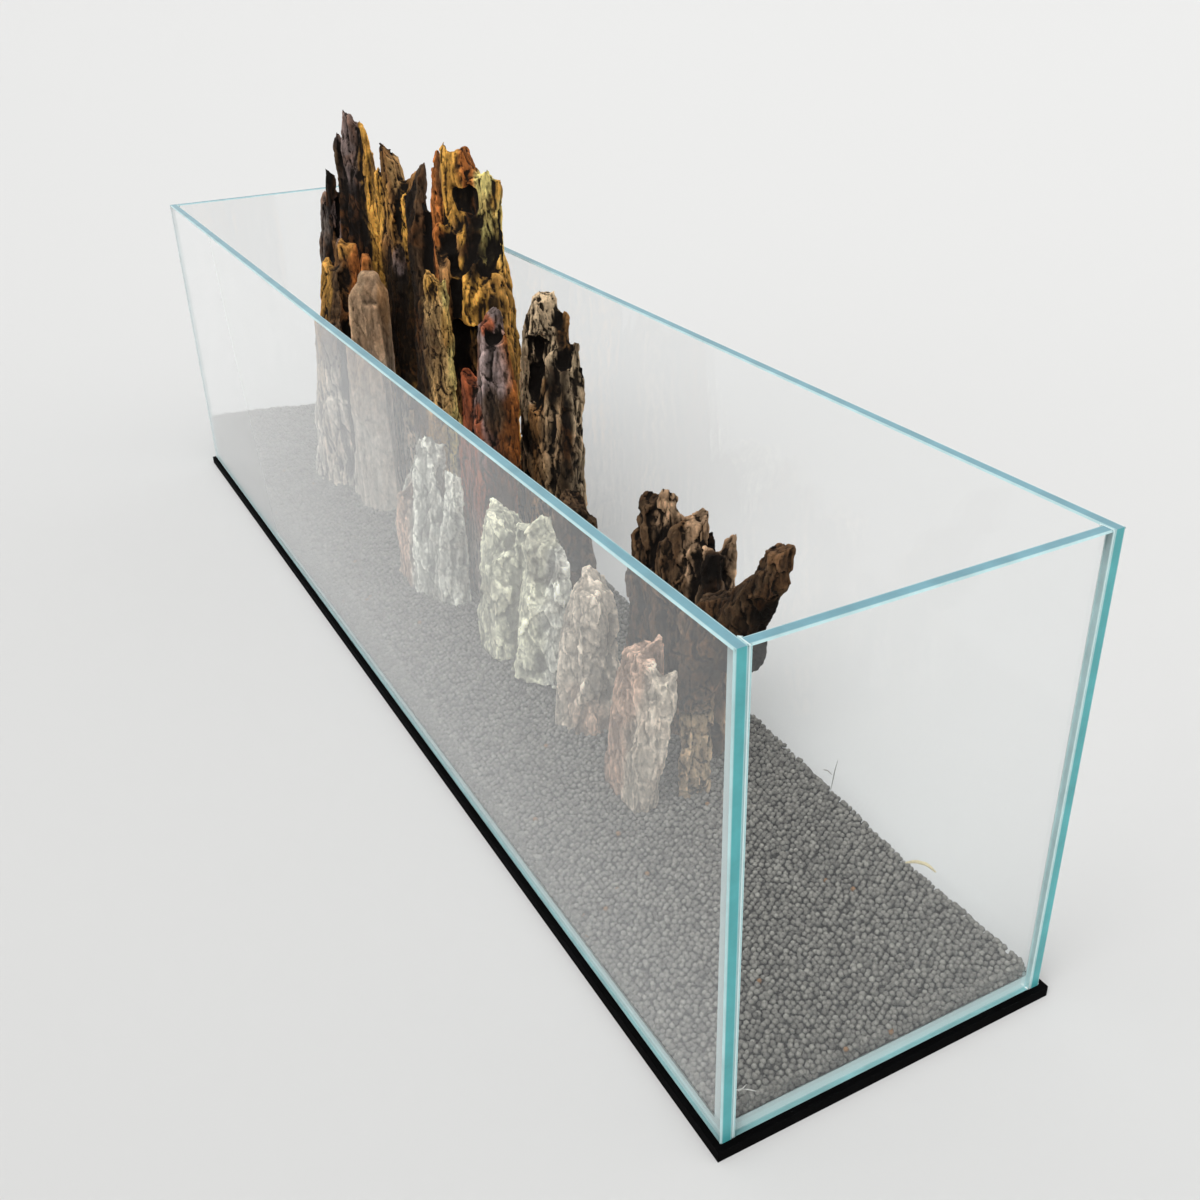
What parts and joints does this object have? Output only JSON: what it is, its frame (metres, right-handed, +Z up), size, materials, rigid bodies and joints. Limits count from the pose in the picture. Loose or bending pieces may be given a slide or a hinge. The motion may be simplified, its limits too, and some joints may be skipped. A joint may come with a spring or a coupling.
{
  "type": "rimless aquarium with stones",
  "caption": "Long, low, rimless glass aquarium with silicone seams on a thin black levelling mat, with a sloping bed of granular soil and loose upright layered stones that lift out.",
  "frame": {"origin": "middle of the underside of the levelling mat, where the object rests", "axes": "+X along the tank's length, +Z up, the front pane faces -Y"},
  "size_m": [0.906, 0.186, 0.3383],
  "materials": {
    "glass": "polished low-iron float glass, edges ground and polished",
    "silicone": "clear silicone, smooth",
    "mat": "fine closed-cell foam, matte",
    "soil": "fired clay granules, matte",
    "light_stone": "rough layered clay stone",
    "dark_stone": "rough layered clay stone, darker"
  },
  "bodies": {
    "tank": {"front_pane": "glass", "back_pane": "glass", "left_pane": "glass", "right_pane": "glass", "bottom_pane": "glass", "left_front_seam": "silicone", "right_front_seam": "silicone", "left_back_seam": "silicone", "right_back_seam": "silicone", "bottom_front_seam": "silicone", "bottom_back_seam": "silicone", "bottom_left_seam": "silicone", "bottom_right_seam": "silicone", "leveling_mat": "mat", "soil_bed": "soil"},
    "spire_stone": {"spire_stone": "light_stone"},
    "column_stone": {"column_stone": "light_stone"},
    "golden_stone": {"golden_stone": "light_stone"},
    "leaning_stone": {"leaning_stone": "light_stone"},
    "oval_stone": {"oval_stone": "light_stone"},
    "tan_stone": {"tan_stone": "light_stone"},
    "purple_stone": {"purple_stone": "light_stone"},
    "medium_stone": {"medium_stone": "dark_stone"},
    "small_stone": {"small_stone": "dark_stone"},
    "front_stone": {"front_stone": "light_stone"},
    "pale_stone": {"pale_stone": "light_stone"},
    "pink_stone": {"pink_stone": "light_stone"},
    "blade_stone": {"blade_stone": "light_stone"},
    "low_stone": {"low_stone": "dark_stone"},
    "hook_stone": {"hook_stone": "dark_stone"}
  },
  "joints": [
    {"name": "spire_lift", "type": "slide", "parent": "tank", "child": "spire_stone", "axis": [0, 0, 1], "range_m": [0, 0.23]},
    {"name": "column_lift", "type": "slide", "parent": "tank", "child": "column_stone", "axis": [0, 0, 1], "range_m": [0, 0.23]},
    {"name": "golden_lift", "type": "slide", "parent": "tank", "child": "golden_stone", "axis": [0, 0, 1], "range_m": [0, 0.23]},
    {"name": "leaning_lift", "type": "slide", "parent": "tank", "child": "leaning_stone", "axis": [0, 0, 1], "range_m": [0, 0.23]},
    {"name": "oval_lift", "type": "slide", "parent": "tank", "child": "oval_stone", "axis": [0, 0, 1], "range_m": [0, 0.23]},
    {"name": "tan_lift", "type": "slide", "parent": "tank", "child": "tan_stone", "axis": [0, 0, 1], "range_m": [0, 0.23]},
    {"name": "purple_lift", "type": "slide", "parent": "tank", "child": "purple_stone", "axis": [0, 0, 1], "range_m": [0, 0.23]},
    {"name": "medium_lift", "type": "slide", "parent": "tank", "child": "medium_stone", "axis": [0, 0, 1], "range_m": [0, 0.23]},
    {"name": "small_lift", "type": "slide", "parent": "tank", "child": "small_stone", "axis": [0, 0, 1], "range_m": [0, 0.23]},
    {"name": "front_lift", "type": "slide", "parent": "tank", "child": "front_stone", "axis": [0, 0, 1], "range_m": [0, 0.23]},
    {"name": "pale_lift", "type": "slide", "parent": "tank", "child": "pale_stone", "axis": [0, 0, 1], "range_m": [0, 0.23]},
    {"name": "pink_lift", "type": "slide", "parent": "tank", "child": "pink_stone", "axis": [0, 0, 1], "range_m": [0, 0.23]},
    {"name": "blade_lift", "type": "slide", "parent": "tank", "child": "blade_stone", "axis": [0, 0, 1], "range_m": [0, 0.23]},
    {"name": "low_lift", "type": "slide", "parent": "tank", "child": "low_stone", "axis": [0, 0, 1], "range_m": [0, 0.23]},
    {"name": "hook_lift", "type": "slide", "parent": "tank", "child": "hook_stone", "axis": [0, 0, 1], "range_m": [0, 0.23]}
  ]
}
